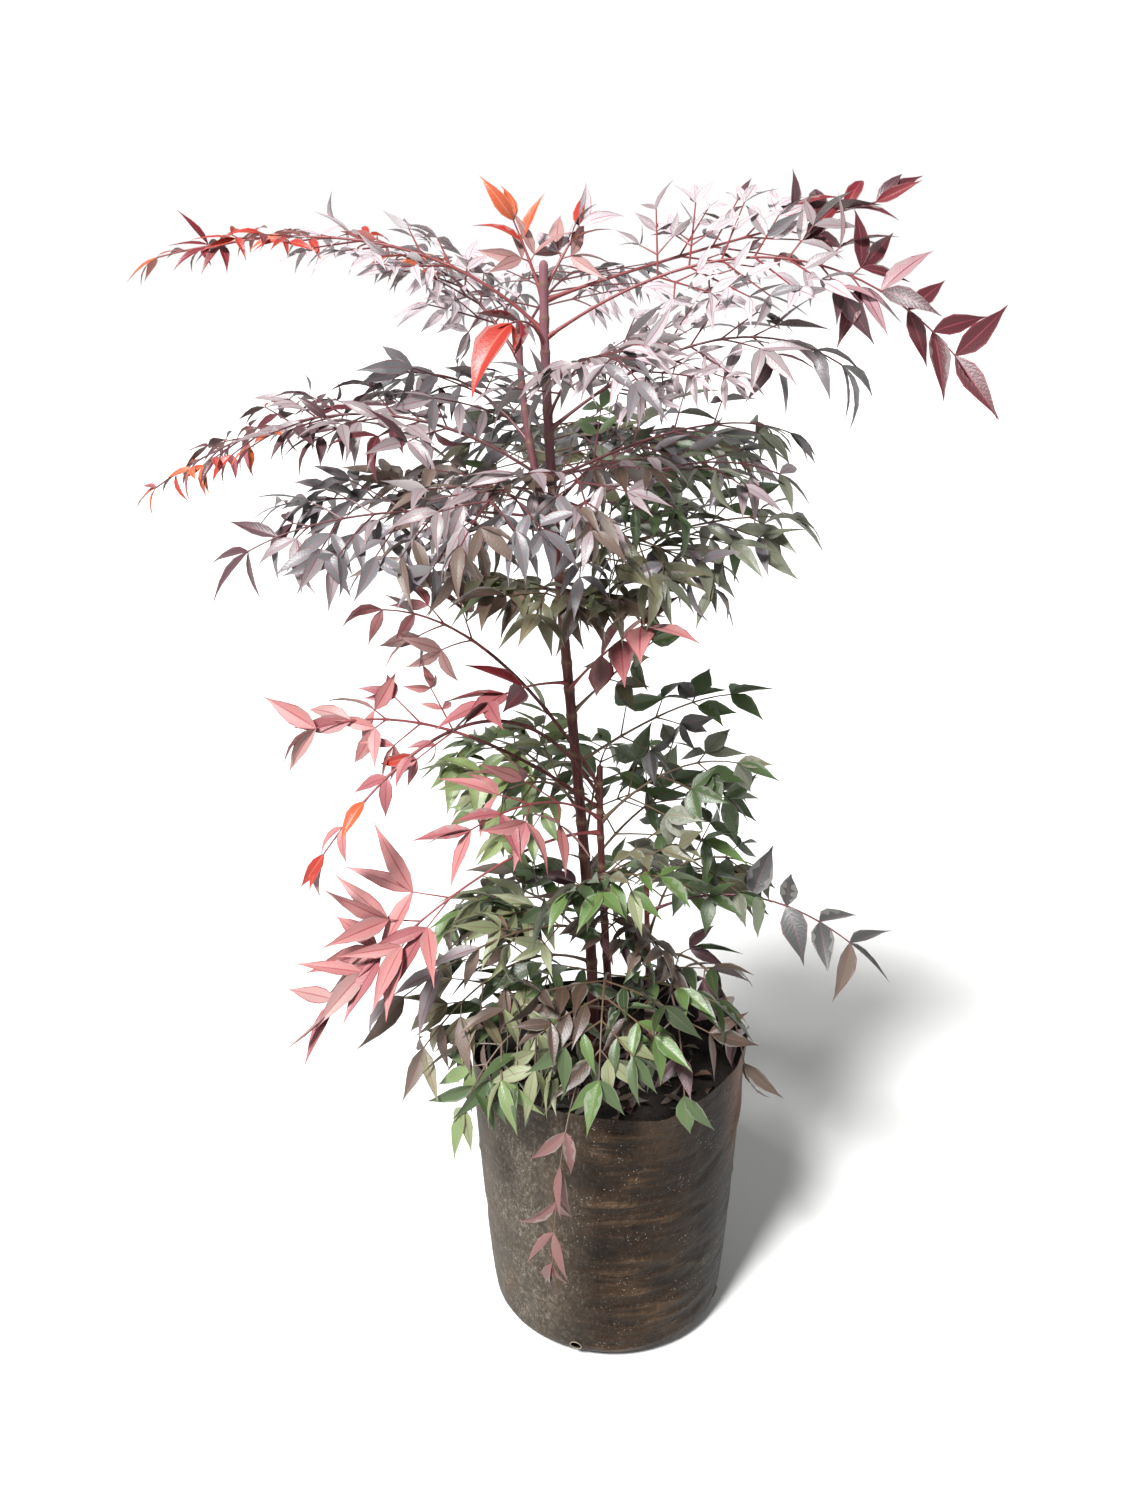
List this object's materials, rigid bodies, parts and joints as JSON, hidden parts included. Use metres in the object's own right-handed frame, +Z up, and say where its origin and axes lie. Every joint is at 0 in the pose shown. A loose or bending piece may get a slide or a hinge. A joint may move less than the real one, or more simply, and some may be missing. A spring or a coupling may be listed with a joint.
{
  "type": "potted heavenly bamboo",
  "caption": "Young heavenly bamboo in a soft round grow bag: slim upright canes with tiers of arching compound fronds of slender red, mauve and green leaflets.",
  "frame": {"origin": "on the surface that the plant stands on, in the bag's flat underside, under the middle of its rim", "axes": "+Z up, -Y to the plant's front as the picture shows it, +X to the right as seen from the front"},
  "size_m": [0.7508, 0.5355, 1.152],
  "materials": {
    "grow_bag_film": "dark brown black film, dusty and wrinkled",
    "soil": "dark moist potting soil",
    "cane_bark": "smooth purple brown bark with leaf scars",
    "leaf_scarlet": "satin leaf, scarlet to orange",
    "leaf_wine": "satin leaf, dark wine red",
    "leaf_rose": "satin leaf, salmon pink",
    "leaf_mauve": "glossy leaf, pale grey mauve",
    "leaf_slate": "glossy leaf, slate grey purple",
    "leaf_bronze": "satin leaf, olive bronze",
    "leaf_olive": "satin leaf, dark olive",
    "leaf_green": "satin leaf, mid green"
  },
  "bodies": {
    "root": {"bag": "grow_bag_film", "soil": "soil", "cane_main": "cane_bark", "cane_front": "cane_bark", "cane_right": "cane_bark", "shoot_back": "cane_bark", "stalk_pink_left_high": "cane_bark", "stalk_pink_left": "cane_bark", "stalk_pink_left_low": "cane_bark", "frond_top_left": "leaf_scarlet", "frond_top_left_back": "leaf_mauve", "frond_top_spire_left": "leaf_scarlet", "frond_top_spire_right": "leaf_scarlet", "frond_top_right_upper": "leaf_wine", "frond_top_right_lower": "leaf_wine", "frond_top_front": "leaf_scarlet", "frond_top_back": "leaf_mauve", "frond_mid_front_high": "leaf_mauve", "frond_mid_right_high": "leaf_mauve", "frond_mid_left_long": "leaf_mauve", "frond_mid_right_back": "leaf_slate", "frond_mid_front": "leaf_mauve", "frond_mid_right": "leaf_slate", "frond_mid_front_left": "leaf_mauve", "frond_mid_left_low": "leaf_slate", "frond_mid_left_back": "leaf_slate", "frond_mid_front_right": "leaf_olive", "frond_mid_right_low": "leaf_olive", "frond_mid_low_front": "leaf_olive", "frond_mid_back_left": "leaf_slate", "frond_mid_back": "leaf_olive", "frond_mid_back_right": "leaf_slate", "frond_pink_left_high": "leaf_rose", "frond_pink_left": "leaf_rose", "frond_pink_left_low": "leaf_rose", "frond_red_front_left": "leaf_wine", "frond_pink_front_right": "leaf_rose", "frond_open_right": "leaf_green", "frond_green_right_high": "leaf_green", "frond_green_right": "leaf_green", "frond_pink_front": "leaf_rose", "frond_pink_low_left": "leaf_rose", "frond_green_left": "leaf_green", "frond_green_front": "leaf_green", "frond_green_back_left": "leaf_green", "frond_green_back": "leaf_green", "frond_green_back_right": "leaf_green", "frond_skirt_right_high": "leaf_bronze", "frond_skirt_right_long": "leaf_slate", "frond_skirt_left_high": "leaf_bronze", "frond_skirt_left": "leaf_bronze", "frond_skirt_left_low": "leaf_bronze", "frond_skirt_front": "leaf_green", "frond_skirt_hanging": "leaf_rose", "frond_skirt_front_right": "leaf_green", "frond_skirt_middle": "leaf_bronze", "frond_skirt_right": "leaf_bronze", "frond_skirt_back_left": "leaf_bronze", "frond_skirt_back_right": "leaf_green"}
  },
  "joints": []
}
